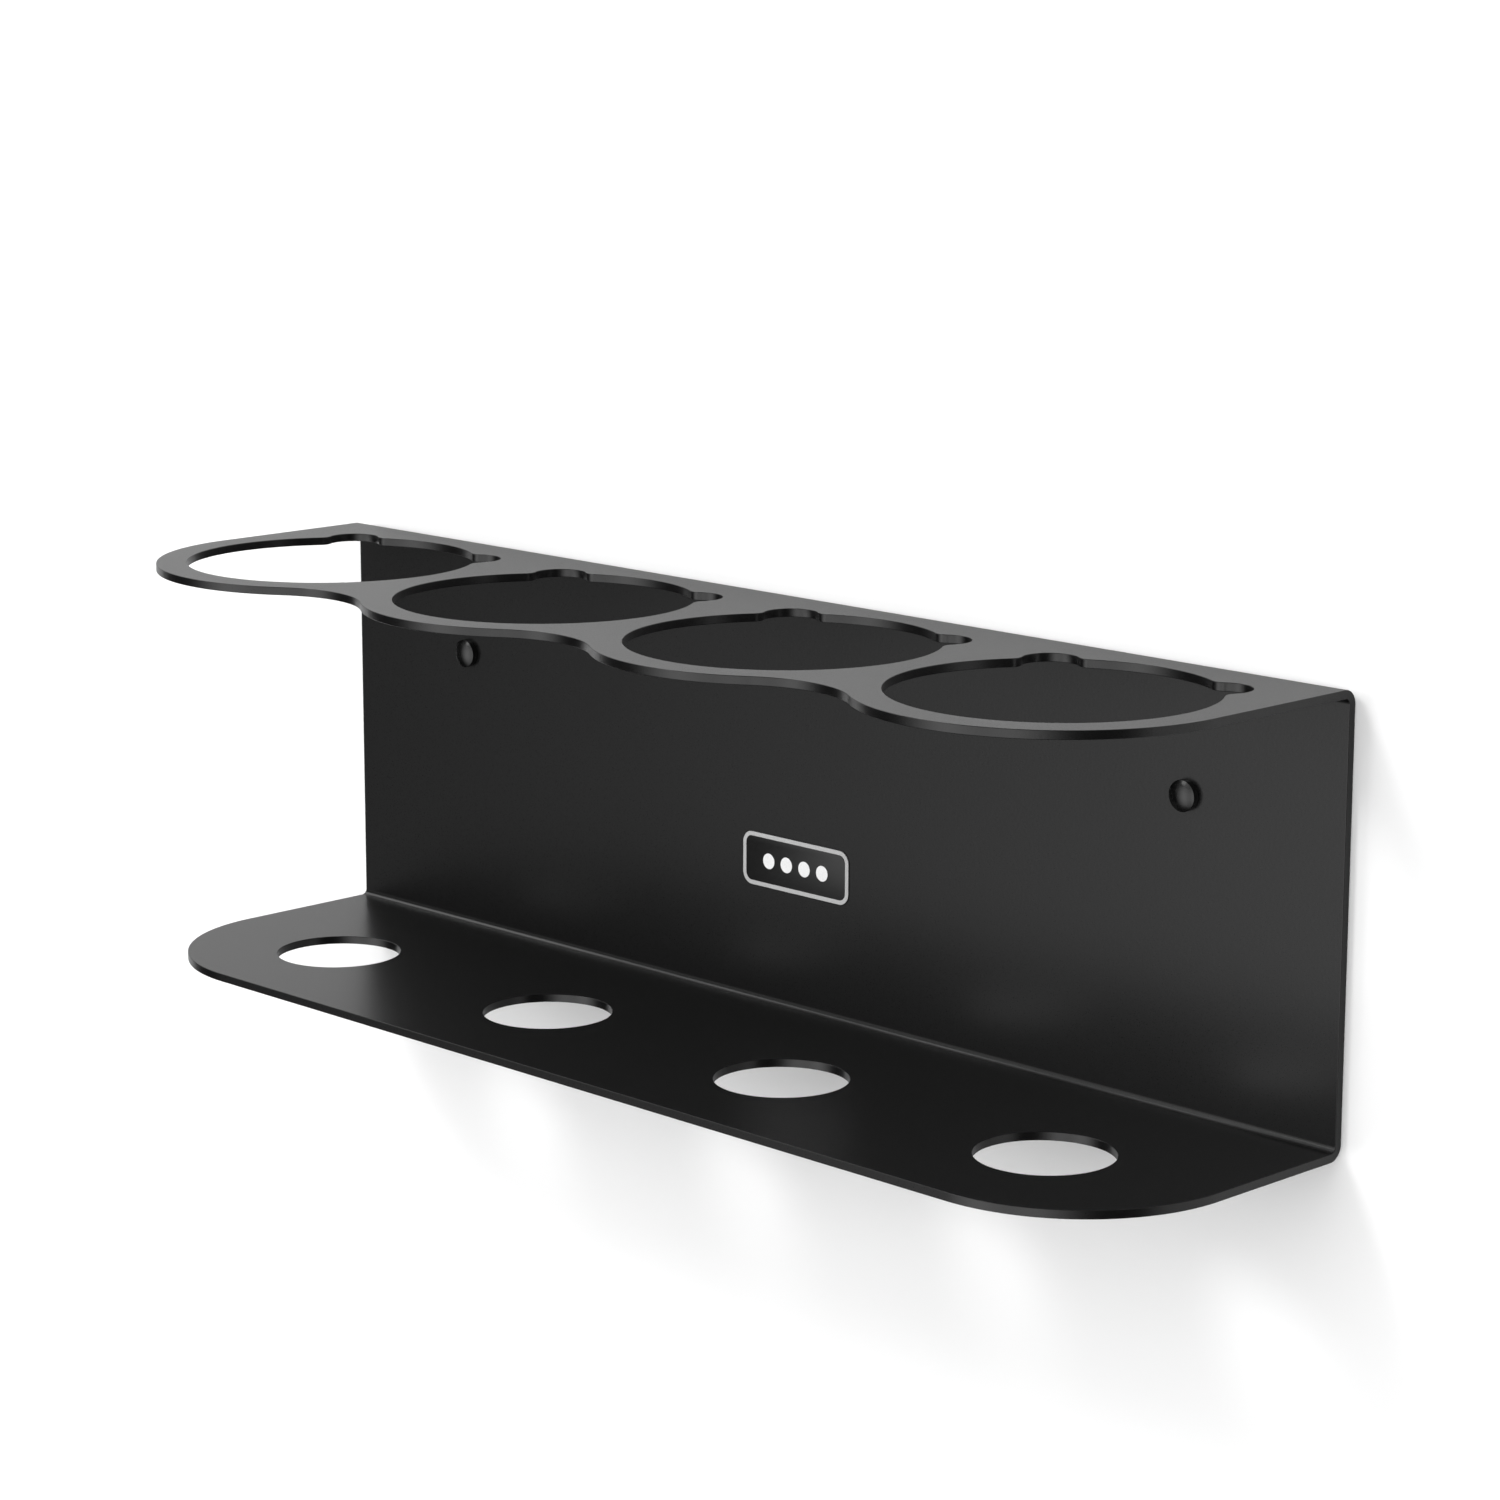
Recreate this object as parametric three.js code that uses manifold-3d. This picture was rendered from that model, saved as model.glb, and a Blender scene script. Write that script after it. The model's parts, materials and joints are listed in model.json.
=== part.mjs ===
// Wall rack for four hair styling tools: one folded steel sheet, its two wall screws with
// domed caps, the anchors that hold the screws in the wall, and a plain label.
// Millimetres. +X right, -Y out from the wall, +Z up.
// The origin is on the wall face, midway between the two wall screws.

import * as THREE from 'three';
import { mergeVertices } from 'three/addons/utils/BufferGeometryUtils.js';
import Module from 'manifold-3d';

const wasm = await Module();
wasm.setup();

// ---- driving dimensions ------------------------------------------------------------------

const STATIONS = 4;
const PITCH = 100;                // from one tool's place to the next
const HEIGHT = 129.5;             // underside of the bottom shelf to the top of the top shelf
const SHEET = 2.5;                // steel with its powder coat
const BEND_INSIDE = 1.8;          // inner radius of both folds

const REACH = 58.5;               // wall face to the centre line of the openings
const SEAT_RADIUS = 45;           // top openings, which carry the tools
const RIM_WIDTH = 9.5;            // flat rim left round each top opening
const HOLLOW_RADIUS = 33;         // hollow curve between two neighbouring rims
const LOBE_RADIUS = 8;            // cord and switch clearance at the back of each opening
const LOBE_BLEND = 4;             // rounded corner between an opening and its lobe
const LOBE_ANGLE = 42;            // degrees from straight back to each lobe

const SHELF_DEPTH = 102.5;        // wall face to the front edge of the bottom shelf
const SHELF_CORNER = 50;          // its front corners
const NOZZLE_RADIUS = 19.6;       // round holes in the bottom shelf

const SCREW_HEIGHT = 92.5;        // screws above the underside
const SCREW_HOLE_RADIUS = 2.3;
const SCREW_RADIUS = 1.75;        // 3.5 mm wood screw
const SCREW_LENGTH = 32;          // under the head
const SCREW_POINT = 5;            // length of the tapered point
const HEAD_RADIUS = 3.5;
const HEAD_SIDE = 0.5;            // straight side of the pan head
const HEAD_CROWN = 0.8;           // rise of its rounded top
const DRIVE_WIDTH = 1.1;          // cross recess
const DRIVE_SPAN = 3.8;
const DRIVE_DEPTH = 0.9;

const CAP_RADIUS = 4.5;
const CAP_SIDE = 1.6;             // straight side of the cap
const CAP_CROWN = 1.1;            // rise of its domed front
const CAP_POCKET_RADIUS = 3.8;    // inside, round the screw's head
const CAP_POCKET_DEPTH = 1.65;

const ANCHOR_RADIUS = 3.1;
const ANCHOR_BORE = 2.1;
const ANCHOR_LENGTH = 30;
const ANCHOR_SET_BACK = 2.4;      // sunk below the wall surface
const ANCHOR_COLLAR = 5;          // smooth stretch at its mouth
const ANCHOR_RIBS = 6;
const ANCHOR_GROOVE = 0.45;       // depth of the grooves between the ribs
const ANCHOR_FALL = 0.6;          // length of the steep side of each rib

const LABEL_WIDTH = 45;
const LABEL_HEIGHT = 17;
const LABEL_CORNER = 4;
const LABEL_THICKNESS = 0.5;
const LABEL_ABOVE_BASE = 46.5;    // label centre above the underside

const GAP = 0.3;                  // between pieces that touch
const CHORD_ERROR = 0.04;         // how far a facet may lie inside its true arc
const TURNED_SEGMENTS = 28;       // round a screw, cap or anchor
const PAST = 5;                   // how far a cutter runs past the metal

// ---- sizes that follow -------------------------------------------------------------------

const RIM_RADIUS = SEAT_RADIUS + RIM_WIDTH;
const BEND_OUTSIDE = BEND_INSIDE + SHEET;
const WIDTH = (STATIONS - 1) * PITCH + 2 * RIM_RADIUS;
const SHELF_REACH = REACH + RIM_RADIUS;
const BOTTOM = -SCREW_HEIGHT;
const TOP = BOTTOM + HEIGHT;
const PLATE_FRONT = -SHEET;
const STATION_X = Array.from({ length: STATIONS }, (_, i) => (i - (STATIONS - 1) / 2) * PITCH);
const SCREW_X = [STATION_X[0], STATION_X[STATIONS - 1]];

// ---- materials ---------------------------------------------------------------------------

function finish(color, roughness, metalness) {
  return new THREE.MeshStandardMaterial({ color, roughness, metalness });
}

const powderCoat = finish(0x1b1b1c, 0.38, 0);
const glossyCap = finish(0x0c0c0d, 0.15, 0);
const zincSteel = finish(0x9a9b9d, 0.35, 1);
const greyNylon = finish(0x8d8f92, 0.55, 0);
const labelFilm = finish(0x2a2a2b, 0.3, 0);

// ---- outlines ----------------------------------------------------------------------------

// Points along an arc from one angle to another, in degrees, both ends included.
function arc(cx, cy, radius, from, to) {
  const stride = 2 * THREE.MathUtils.radToDeg(Math.acos(1 - CHORD_ERROR / radius));
  const count = Math.ceil(Math.abs(to - from) / stride);
  return Array.from({ length: count + 1 }, (_, i) => polar(cx, cy, radius, from + ((to - from) * i) / count));
}

function polar(cx, cy, radius, degrees) {
  const angle = THREE.MathUtils.degToRad(degrees);
  return new THREE.Vector2(cx + radius * Math.cos(angle), cy + radius * Math.sin(angle));
}

// One closed outline from stretches of points; a point that repeats the last one is left out.
function outline(...stretches) {
  const points = [];
  for (const point of stretches.flat()) {
    const last = points[points.length - 1];
    if (!last || last.distanceTo(point) > 1e-4) points.push(point);
  }
  if (points[0].distanceTo(points[points.length - 1]) < 1e-4) points.pop();
  return new THREE.Shape(points);
}

function at(x, y) {
  return [new THREE.Vector2(x, y)];
}

// The sheet seen from its end: bottom shelf, back plate and top shelf with two round folds.
function foldedSection() {
  const low = BOTTOM + BEND_OUTSIDE;
  const high = TOP - BEND_OUTSIDE;
  return outline(
    at(-SHELF_DEPTH, BOTTOM),
    arc(-BEND_OUTSIDE, low, BEND_OUTSIDE, -90, 0),
    arc(-BEND_OUTSIDE, high, BEND_OUTSIDE, 0, 90),
    at(-SHELF_REACH, TOP),
    at(-SHELF_REACH, TOP - SHEET),
    arc(-BEND_OUTSIDE, high, BEND_INSIDE, 90, 0),
    arc(-BEND_OUTSIDE, low, BEND_INSIDE, 0, -90),
    at(-SHELF_DEPTH, BOTTOM + SHEET),
  );
}

// What is cut away in front of the top shelf, seen from above: it leaves a round rim at each
// station, joined to its neighbour by a hollow curve that meets both rims smoothly.
function rimOffcut() {
  const side = WIDTH / 2 + PAST;
  const front = -SHELF_REACH - PAST;
  const bearing = THREE.MathUtils.radToDeg(Math.acos(PITCH / 2 / (RIM_RADIUS + HOLLOW_RADIUS)));
  const hollowY = -REACH - (RIM_RADIUS + HOLLOW_RADIUS) * Math.sin(THREE.MathUtils.degToRad(bearing));
  const edge = STATION_X.flatMap((x, i) => {
    const first = i === 0;
    const last = i === STATIONS - 1;
    const rim = arc(x, -REACH, RIM_RADIUS, first ? 180 : 180 + bearing, last ? 360 : 360 - bearing);
    const hollow = last ? [] : arc(x + PITCH / 2, hollowY, HOLLOW_RADIUS, 180 - bearing, bearing);
    return [...rim, ...hollow];
  });
  return outline(at(-side, -REACH), edge, at(side, -REACH), at(side, front), at(-side, front));
}

// What is cut away at one front corner of the bottom shelf, for side -1 or +1.
function cornerOffcut(side) {
  const x = side * (WIDTH / 2 - SHELF_CORNER);
  const y = -SHELF_DEPTH + SHELF_CORNER;
  const end = side > 0 ? 0 : -180;
  return outline(
    arc(x, y, SHELF_CORNER, -90, end),
    at(side * (WIDTH / 2 + PAST), y),
    at(side * (WIDTH / 2 + PAST), -SHELF_DEPTH - PAST),
    at(x, -SHELF_DEPTH - PAST),
  );
}

// One lobe of a top opening, in the direction given: blend, lobe, blend.
function lobe(cx, cy, direction) {
  const toBlend = SEAT_RADIUS + LOBE_BLEND;
  const lobeToBlend = LOBE_RADIUS + LOBE_BLEND;
  const offset = oppositeAngle(lobeToBlend, SEAT_RADIUS, toBlend);
  const spread = 180 - oppositeAngle(toBlend, SEAT_RADIUS, lobeToBlend);
  const centre = polar(cx, cy, SEAT_RADIUS, direction);
  const before = polar(cx, cy, toBlend, direction - offset);
  const after = polar(cx, cy, toBlend, direction + offset);
  return [
    ...arc(before.x, before.y, LOBE_BLEND, direction + 180 - offset, direction + 180 - spread),
    ...arc(centre.x, centre.y, LOBE_RADIUS, direction - spread, direction + spread),
    ...arc(after.x, after.y, LOBE_BLEND, direction + 180 + spread, direction + 180 + offset),
  ];
}

// The angle in degrees that faces side a in a triangle with sides a, b and c.
function oppositeAngle(a, b, c) {
  return THREE.MathUtils.radToDeg(Math.acos((b * b + c * c - a * a) / (2 * b * c)));
}

// A top opening: a circle with two lobes towards the wall.
function seatOutline(x) {
  const right = lobe(x, -REACH, 90 - LOBE_ANGLE);
  const left = lobe(x, -REACH, 90 + LOBE_ANGLE);
  const offset = oppositeAngle(LOBE_RADIUS + LOBE_BLEND, SEAT_RADIUS, SEAT_RADIUS + LOBE_BLEND);
  const back = arc(x, -REACH, SEAT_RADIUS, 90 - LOBE_ANGLE + offset, 90 + LOBE_ANGLE - offset);
  const front = arc(x, -REACH, SEAT_RADIUS, 90 + LOBE_ANGLE + offset, 450 - LOBE_ANGLE - offset);
  return outline(right, back, left, front);
}

function circleOutline(x, y, radius) {
  return outline(arc(x, y, radius, 0, 360));
}

function roundedRectangle(width, height, radius) {
  const x = width / 2 - radius;
  const y = height / 2 - radius;
  return outline(
    arc(x, y, radius, 0, 90),
    arc(-x, y, radius, 90, 180),
    arc(-x, -y, radius, 180, 270),
    arc(x, -y, radius, 270, 360),
  );
}

// ---- solids ------------------------------------------------------------------------------

function extrude(shape, depth) {
  return new THREE.ExtrudeGeometry(shape, { depth, bevelEnabled: false });
}

// A plan outline made into a cutter that runs through one shelf, whose underside is at z.
function shelfCutter(shape, z) {
  return toSolid(extrude(shape, SHEET + 2 * PAST).translate(0, 0, z - PAST));
}

function toSolid(geometry) {
  geometry.deleteAttribute('normal');
  geometry.deleteAttribute('uv');
  const merged = mergeVertices(geometry, 1e-5);
  return new wasm.Manifold(new wasm.Mesh({
    numProp: 3,
    vertProperties: new Float32Array(merged.attributes.position.array),
    triVerts: new Uint32Array(merged.index.array),
  }));
}

function toGeometry(solid) {
  const mesh = solid.getMesh();
  const geometry = new THREE.BufferGeometry();
  geometry.setAttribute('position', new THREE.BufferAttribute(mesh.vertProperties, 3));
  geometry.setIndex(new THREE.BufferAttribute(mesh.triVerts, 1));
  geometry.computeVertexNormals();
  return geometry;
}

// A turned piece from [radius, distance] pairs; its axis points along +Y, into the wall.
function turned(profile) {
  const points = profile.map(([radius, along]) => new THREE.Vector2(radius, along));
  return new THREE.LatheGeometry(points, TURNED_SEGMENTS);
}

// ---- pieces ------------------------------------------------------------------------------

function rackBody() {
  const alongX = new THREE.Matrix4().makeBasis(
    new THREE.Vector3(0, 1, 0),
    new THREE.Vector3(0, 0, 1),
    new THREE.Vector3(1, 0, 0),
  );
  const sheet = extrude(foldedSection(), WIDTH).applyMatrix4(alongX).translate(-WIDTH / 2, 0, 0);
  let body = toSolid(sheet).subtract(shelfCutter(rimOffcut(), TOP - SHEET));
  for (const side of [-1, 1]) body = body.subtract(shelfCutter(cornerOffcut(side), BOTTOM));
  for (const x of STATION_X) {
    body = body.subtract(shelfCutter(seatOutline(x), TOP - SHEET));
    body = body.subtract(shelfCutter(circleOutline(x, -REACH, NOZZLE_RADIUS), BOTTOM));
  }
  for (const x of SCREW_X) {
    const drill = extrude(circleOutline(0, 0, SCREW_HOLE_RADIUS), SHEET + 2 * PAST);
    drill.rotateX(Math.PI / 2).translate(x, PAST, 0);
    body = body.subtract(toSolid(drill));
  }
  return toGeometry(body);
}

// A round front with a straight side and a spherical crown, from the middle of the crown to the
// bottom of the side, as [radius, distance] pairs. Its back is at 0 and its crown points to -Y.
function domedFront(radius, side, rise) {
  const sphere = (radius ** 2 + rise ** 2) / (2 * rise);
  const crown = [0, 0.25, 0.5, 0.75, 1].map((part) => {
    const out = part * radius;
    return [out, -side - rise + sphere - Math.sqrt(sphere ** 2 - out ** 2)];
  });
  return [...crown, [radius, 0]];
}

// A pan-head wood screw with a cross recess. Along its axis, 0 is the underside of the head.
function wallScrew() {
  const blank = turned([
    ...domedFront(HEAD_RADIUS, HEAD_SIDE, HEAD_CROWN),
    [SCREW_RADIUS, 0],
    [SCREW_RADIUS, SCREW_LENGTH - SCREW_POINT],
    [0, SCREW_LENGTH],
  ]);
  let screw = toSolid(blank);
  for (const turn of [0, Math.PI / 2]) {
    const blade = new THREE.BoxGeometry(DRIVE_SPAN, 2 * DRIVE_DEPTH, DRIVE_WIDTH);
    blade.rotateY(turn).translate(0, -HEAD_SIDE - HEAD_CROWN, 0);
    screw = screw.subtract(toSolid(blade));
  }
  return toGeometry(screw);
}

// A hollow domed cap, open towards the wall. Along its axis, 0 is its open edge.
function screwCap() {
  return turned([
    ...domedFront(CAP_RADIUS, CAP_SIDE, CAP_CROWN),
    [CAP_POCKET_RADIUS, 0],
    [CAP_POCKET_RADIUS, -CAP_POCKET_DEPTH],
    [0, -CAP_POCKET_DEPTH],
  ]);
}

// A ribbed wall anchor with a straight bore right through it. Along its axis, 0 is its mouth.
function wallAnchor() {
  const groove = ANCHOR_RADIUS - ANCHOR_GROOVE;
  const stride = (ANCHOR_LENGTH - ANCHOR_COLLAR - ANCHOR_FALL) / ANCHOR_RIBS;
  const ribs = Array.from({ length: ANCHOR_RIBS }, (_, i) => [
    [groove, ANCHOR_COLLAR + ANCHOR_FALL + i * stride],
    [ANCHOR_RADIUS, ANCHOR_COLLAR + (i + 1) * stride],
  ]).flat();
  return turned([
    [ANCHOR_BORE, 0],
    [ANCHOR_RADIUS, 0],
    [ANCHOR_RADIUS, ANCHOR_COLLAR],
    ...ribs,
    [groove, ANCHOR_LENGTH],
    [ANCHOR_BORE, ANCHOR_LENGTH],
    [ANCHOR_BORE, 0],
  ]);
}

function label() {
  return extrude(roundedRectangle(LABEL_WIDTH, LABEL_HEIGHT, LABEL_CORNER), LABEL_THICKNESS)
    .rotateX(Math.PI / 2);
}

// ---- the rack ----------------------------------------------------------------------------

const rack = new THREE.Group();

function place(name, geometry, material, x, y, z) {
  const mesh = new THREE.Mesh(geometry, material);
  mesh.name = name;
  mesh.position.set(x, y, z);
  rack.add(mesh);
}

place('rack_body', rackBody(), powderCoat, 0, 0, 0);
['left', 'right'].forEach((side, i) => {
  place(`wall_screw_${side}`, wallScrew(), zincSteel, SCREW_X[i], PLATE_FRONT - GAP, 0);
  place(`screw_cap_${side}`, screwCap(), glossyCap, SCREW_X[i], PLATE_FRONT - GAP, 0);
  place(`wall_anchor_${side}`, wallAnchor(), greyNylon, SCREW_X[i], ANCHOR_SET_BACK, 0);
});
place('label_plate', label(), labelFilm, 0, PLATE_FRONT - GAP, BOTTOM + LABEL_ABOVE_BASE);

export default rack;
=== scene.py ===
import json
import math
from itertools import product

import bmesh
import bpy
import numpy as np
from mathutils import Matrix, Vector
from mathutils.geometry import delaunay_2d_cdt
from mathutils.kdtree import KDTree


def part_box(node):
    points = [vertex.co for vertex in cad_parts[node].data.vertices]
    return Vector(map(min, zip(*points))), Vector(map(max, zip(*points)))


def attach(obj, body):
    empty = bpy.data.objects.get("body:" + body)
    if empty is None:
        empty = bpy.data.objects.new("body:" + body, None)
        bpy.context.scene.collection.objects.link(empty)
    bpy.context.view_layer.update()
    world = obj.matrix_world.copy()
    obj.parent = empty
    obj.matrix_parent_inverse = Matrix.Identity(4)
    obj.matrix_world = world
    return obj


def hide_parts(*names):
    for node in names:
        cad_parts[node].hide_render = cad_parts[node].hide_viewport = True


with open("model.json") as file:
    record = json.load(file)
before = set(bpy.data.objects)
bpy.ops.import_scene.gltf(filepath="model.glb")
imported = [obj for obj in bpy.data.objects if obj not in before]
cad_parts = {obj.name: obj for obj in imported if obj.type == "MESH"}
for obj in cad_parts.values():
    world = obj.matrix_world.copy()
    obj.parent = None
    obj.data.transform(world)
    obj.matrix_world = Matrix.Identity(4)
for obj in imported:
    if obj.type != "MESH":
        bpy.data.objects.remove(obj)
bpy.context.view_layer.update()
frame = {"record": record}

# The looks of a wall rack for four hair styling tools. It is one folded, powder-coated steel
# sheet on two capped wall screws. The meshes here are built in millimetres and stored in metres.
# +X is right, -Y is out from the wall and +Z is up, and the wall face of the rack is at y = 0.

MM = 0.001

# ---- sizes read from the frame, in millimetres ------------------------------------------

mounts = {mount["name"]: mount for mount in frame["record"]["mounts"]}
seats = [Vector(mounts[f"seat_{n}"]["pos_m"]) / MM for n in range(1, 5)]
rack_low, rack_high = (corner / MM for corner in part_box("rack_body"))

STATION_X = [seat.x for seat in seats]
BOTTOM = rack_low.z
TOP = rack_high.z
HALF_WIDTH = rack_high.x
SHEET = mounts["lower_shelf"]["pos_m"][2] / MM - BOTTOM
RIM_RADIUS = HALF_WIDTH - STATION_X[-1]
REACH = -rack_low.y - RIM_RADIUS             # wall face to the centre line of the openings
SEAT_RADIUS = 2 * (-seats[0].y - REACH) - RIM_RADIUS

# ---- sizes of the design that the frame doesn't name, in millimetres and degrees ---------

BEND_INSIDE = 1.8
BEND_OUTSIDE = BEND_INSIDE + SHEET
HOLLOW_RADIUS = 33                           # hollow curve between two rims
LOBE_RADIUS = 8
LOBE_BLEND = 4
LOBE_ANGLE = 42                              # from straight back to each lobe
SHELF_DEPTH = 102.5
SHELF_CORNER = 50
NOZZLE_RADIUS = 19.6
SCREW_HOLE_RADIUS = 2.3

CAP_CROWN = 1.1                              # rise of the cap's domed front
CAP_LIP = 0.15                               # rounding between its front and its side
CAP_FOOT_ROUND = 0.2                         # outside of the rim that meets the plate
CAP_MOUTH_ROUND = 0.15                       # inside of the same rim
CAP_POCKET_RADIUS = 3.8
CAP_POCKET_DEPTH = 1.65
CAP_POCKET_ROUND = 0.3
HEAD_CROWN = 0.8
HEAD_LIP = 0.35
HEAD_FOOT_ROUND = 0.12
NECK_ROUND = 0.1
NECK_LENGTH = 1.2                            # plain shank between the head and the thread
SHANK_RADIUS = 1.2
THREAD_RADIUS = 1.75
THREAD_PITCH = 1.5
THREAD_STEPS = 10                            # rows of points in one turn of the thread
THREAD_FOOT = 0.32                           # half the width of a ridge, as a share of the pitch
POINT_RIDGE = 0.3                            # least share of a ridge's height before it fades out
SCREW_POINT = 5
POINT_CURVE = 0.8                            # 1 would make the point a straight cone
DRIVE_WIDTH = 1.1
DRIVE_SPAN = 3.8
DRIVE_DEPTH = 0.9
CUTTER_OVERRUN = 1                           # how far in front of the head its cutter starts
ANCHOR_BORE = 2.1                            # radius
ANCHOR_MOUTH_ROUND = 0.25
ANCHOR_COLLAR = 5
ANCHOR_COLLAR_ROUND = 0.12
ANCHOR_RIBS = 6
ANCHOR_GROOVE = 0.45
RIB_FLANK = 0.5                              # from the line between two ribs to the slopes beside it
GROOVE_FLOOR = 0.35                          # share of a rib's length where the groove's floor ends
GROOVE_FLOOR_ROUND = 0.3
RIB_ROUND = 0.15
RIB_EDGE = 0.05
ANCHOR_TIP_INSET = 0.15
ANCHOR_TIP_ROUND = 0.2
ANCHOR_TIP_MOUTH_ROUND = 0.1
ANCHOR_SLIT = 0.9                            # width
ANCHOR_SLIT_START = 3                        # behind the collar
LABEL_CORNER = 4
FILM = 0.25                                  # thickness of the label film
FILM_ROUND = 0.08
INK = 0.05                                   # height of the raised print
INK_SUNK = 0.05                              # how far the print reaches into the film
INK_ROUND = 0.02
BORDER_INSET = 0.25
BORDER_WIDTH = 1.3
DOTS = 4
DOT_RADIUS = 2.4
DOT_PITCH = 7.5
SEAM = 0.02                                  # between pieces that touch

# ---- fineness of the meshes ---------------------------------------------------------------

EDGE_ROUND = 0.2                             # rounding that the coat leaves on cut edges
EDGE_STEPS = 4
CHORD_ERROR = 0.004                          # how far a facet may lie inside its true arc
FLAT_STEP = 6                                # spacing of points on flat metal
BEND_STEPS = 14
SHARP_ANGLE = 35                             # creases on small pieces are sharper than this
CLEAR_OF_BEND = 0.6                          # least gap from a bend's lines, in rows of flat metal
CLEAR_OF_EDGE = 0.45                         # least gap from a cut edge, in steps of flat metal
ROUND_STEPS = 6                              # facets in a rounded corner
ANCHOR_ROUND_STEPS = 4
DOME_POINTS = 9                              # from the middle of a dome to its lip
FILM_ROUND_POINTS = 4
CAP_SEGMENTS = 96
SCREW_SEGMENTS = 48
ANCHOR_SEGMENTS = 64

SAME_POINT = 1e-6                            # gaps that count as none, in millimetres
SAME_LEVEL = 1e-3
TRIANGLE_GAP = 1e-5
WELD_GAP = 1e-7                              # in metres, as the finished meshes are
FLATTENED_EDGE = 1e-8


# ---- flat pattern of the sheet ------------------------------------------------------------
# The sheet is laid out flat before it is folded. Pattern x runs along the wall and pattern s runs
# from the front edge of the bottom shelf, up the back plate, to the front of the top shelf.

BEND_LENGTH = math.pi / 2 * (BEND_INSIDE + SHEET / 2)
LOW_BEND = SHELF_DEPTH - BEND_OUTSIDE
PLATE = LOW_BEND + BEND_LENGTH
HIGH_BEND = PLATE + (TOP - BOTTOM) - 2 * BEND_OUTSIDE
TOP_SHELF = HIGH_BEND + BEND_LENGTH
SEAT_LINE = TOP_SHELF + REACH - BEND_OUTSIDE
NOZZLE_LINE = SHELF_DEPTH - REACH
SCREW_LINE = PLATE - BEND_OUTSIDE - BOTTOM


def arc(cx, cy, radius, start, end, facing):
    """Points on an arc and the metal's outward normal, as rows of x, s, nx, ns. facing is 1 where
    the metal is inside the circle and -1 where it is outside."""
    stride = 2 * math.degrees(math.acos(1 - CHORD_ERROR / radius))
    count = math.ceil(abs(end - start) / stride) + 1
    angle = np.radians(np.linspace(start, end, count))
    way = np.stack([np.cos(angle), np.sin(angle)], axis=1)
    return np.hstack([np.array([cx, cy]) + radius * way, facing * way])


def straight(start, end, stops):
    """Points on a straight edge from start to end, at the given fractions of its length. The metal
    is on its left."""
    start, end = np.array(start, float), np.array(end, float)
    along = (end - start) / np.linalg.norm(end - start)
    points = start + np.outer(stops, end - start)
    return np.hstack([points, np.tile([along[1], -along[0]], (len(points), 1))])


def joined(*stretches):
    """One closed outline from stretches, without the points where they meet twice."""
    rows = np.vstack(stretches)
    gap = np.linalg.norm(rows[:, :2] - np.roll(rows[:, :2], 1, axis=0), axis=1)
    return rows[gap > SAME_POINT]


def facing_angle(a, b, c):
    """The angle in degrees that faces side a in a triangle with sides a, b and c."""
    return math.degrees(math.acos((b * b + c * c - a * a) / (2 * b * c)))


def polar(cx, cy, radius, angle):
    return cx + radius * math.cos(math.radians(angle)), cy + radius * math.sin(math.radians(angle))


def bend_lines(start):
    return np.linspace(start, start + BEND_LENGTH, BEND_STEPS + 1)


def even(start, end, step):
    return np.linspace(start, end, max(2, round(abs(end - start) / step) + 1))


def side_heights():
    """Pattern heights of the points on the rack's straight side edges, closer in the bends."""
    return np.unique(np.concatenate([
        even(SHELF_CORNER, LOW_BEND, FLAT_STEP / 2),
        bend_lines(LOW_BEND),
        even(PLATE, HIGH_BEND, FLAT_STEP / 2),
        bend_lines(HIGH_BEND),
        even(TOP_SHELF, SEAT_LINE, FLAT_STEP / 2),
    ]).round(6))


def outer_edge():
    """The sheet's outline: the bottom shelf's front, right side, scalloped rims, left side."""
    inset = HALF_WIDTH - SHELF_CORNER
    heights = side_heights()
    climb = (heights - heights[0]) / (heights[-1] - heights[0])
    reach = RIM_RADIUS + HOLLOW_RADIUS
    pitch = STATION_X[1] - STATION_X[0]
    bearing = math.degrees(math.acos(pitch / 2 / reach))
    hollow_line = SEAT_LINE + reach * math.sin(math.radians(bearing))
    rims = []
    for x in reversed(STATION_X):
        start = 0 if x == STATION_X[-1] else bearing
        end = 180 if x == STATION_X[0] else 180 - bearing
        rims.append(arc(x, SEAT_LINE, RIM_RADIUS, start, end, 1))
        if end < 180:
            rims.append(arc(x - pitch / 2, hollow_line, HOLLOW_RADIUS, -bearing, bearing - 180, -1))
    front = even(0, 1, FLAT_STEP / 2 / (2 * inset))
    return joined(
        straight((-inset, 0), (inset, 0), front),
        arc(inset, SHELF_CORNER, SHELF_CORNER, -90, 0, 1),
        straight((HALF_WIDTH, SHELF_CORNER), (HALF_WIDTH, SEAT_LINE), climb),
        *rims,
        straight((-HALF_WIDTH, SEAT_LINE), (-HALF_WIDTH, SHELF_CORNER), 1 - climb[::-1]),
        arc(-inset, SHELF_CORNER, SHELF_CORNER, 180, 270, 1),
    )


def lobe(cx, cy, direction):
    """A lobe of a top opening with its two blends, anticlockwise."""
    to_blend = SEAT_RADIUS + LOBE_BLEND
    across = LOBE_RADIUS + LOBE_BLEND
    offset = facing_angle(across, SEAT_RADIUS, to_blend)
    spread = 180 - facing_angle(to_blend, SEAT_RADIUS, across)
    centre = polar(cx, cy, SEAT_RADIUS, direction)
    before = polar(cx, cy, to_blend, direction - offset)
    after = polar(cx, cy, to_blend, direction + offset)
    back = direction + 180
    return np.vstack([
        arc(*before, LOBE_BLEND, back - offset, back - spread, 1),
        arc(*centre, LOBE_RADIUS, direction - spread, direction + spread, -1),
        arc(*after, LOBE_BLEND, back + spread, back + offset, 1),
    ])


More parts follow.
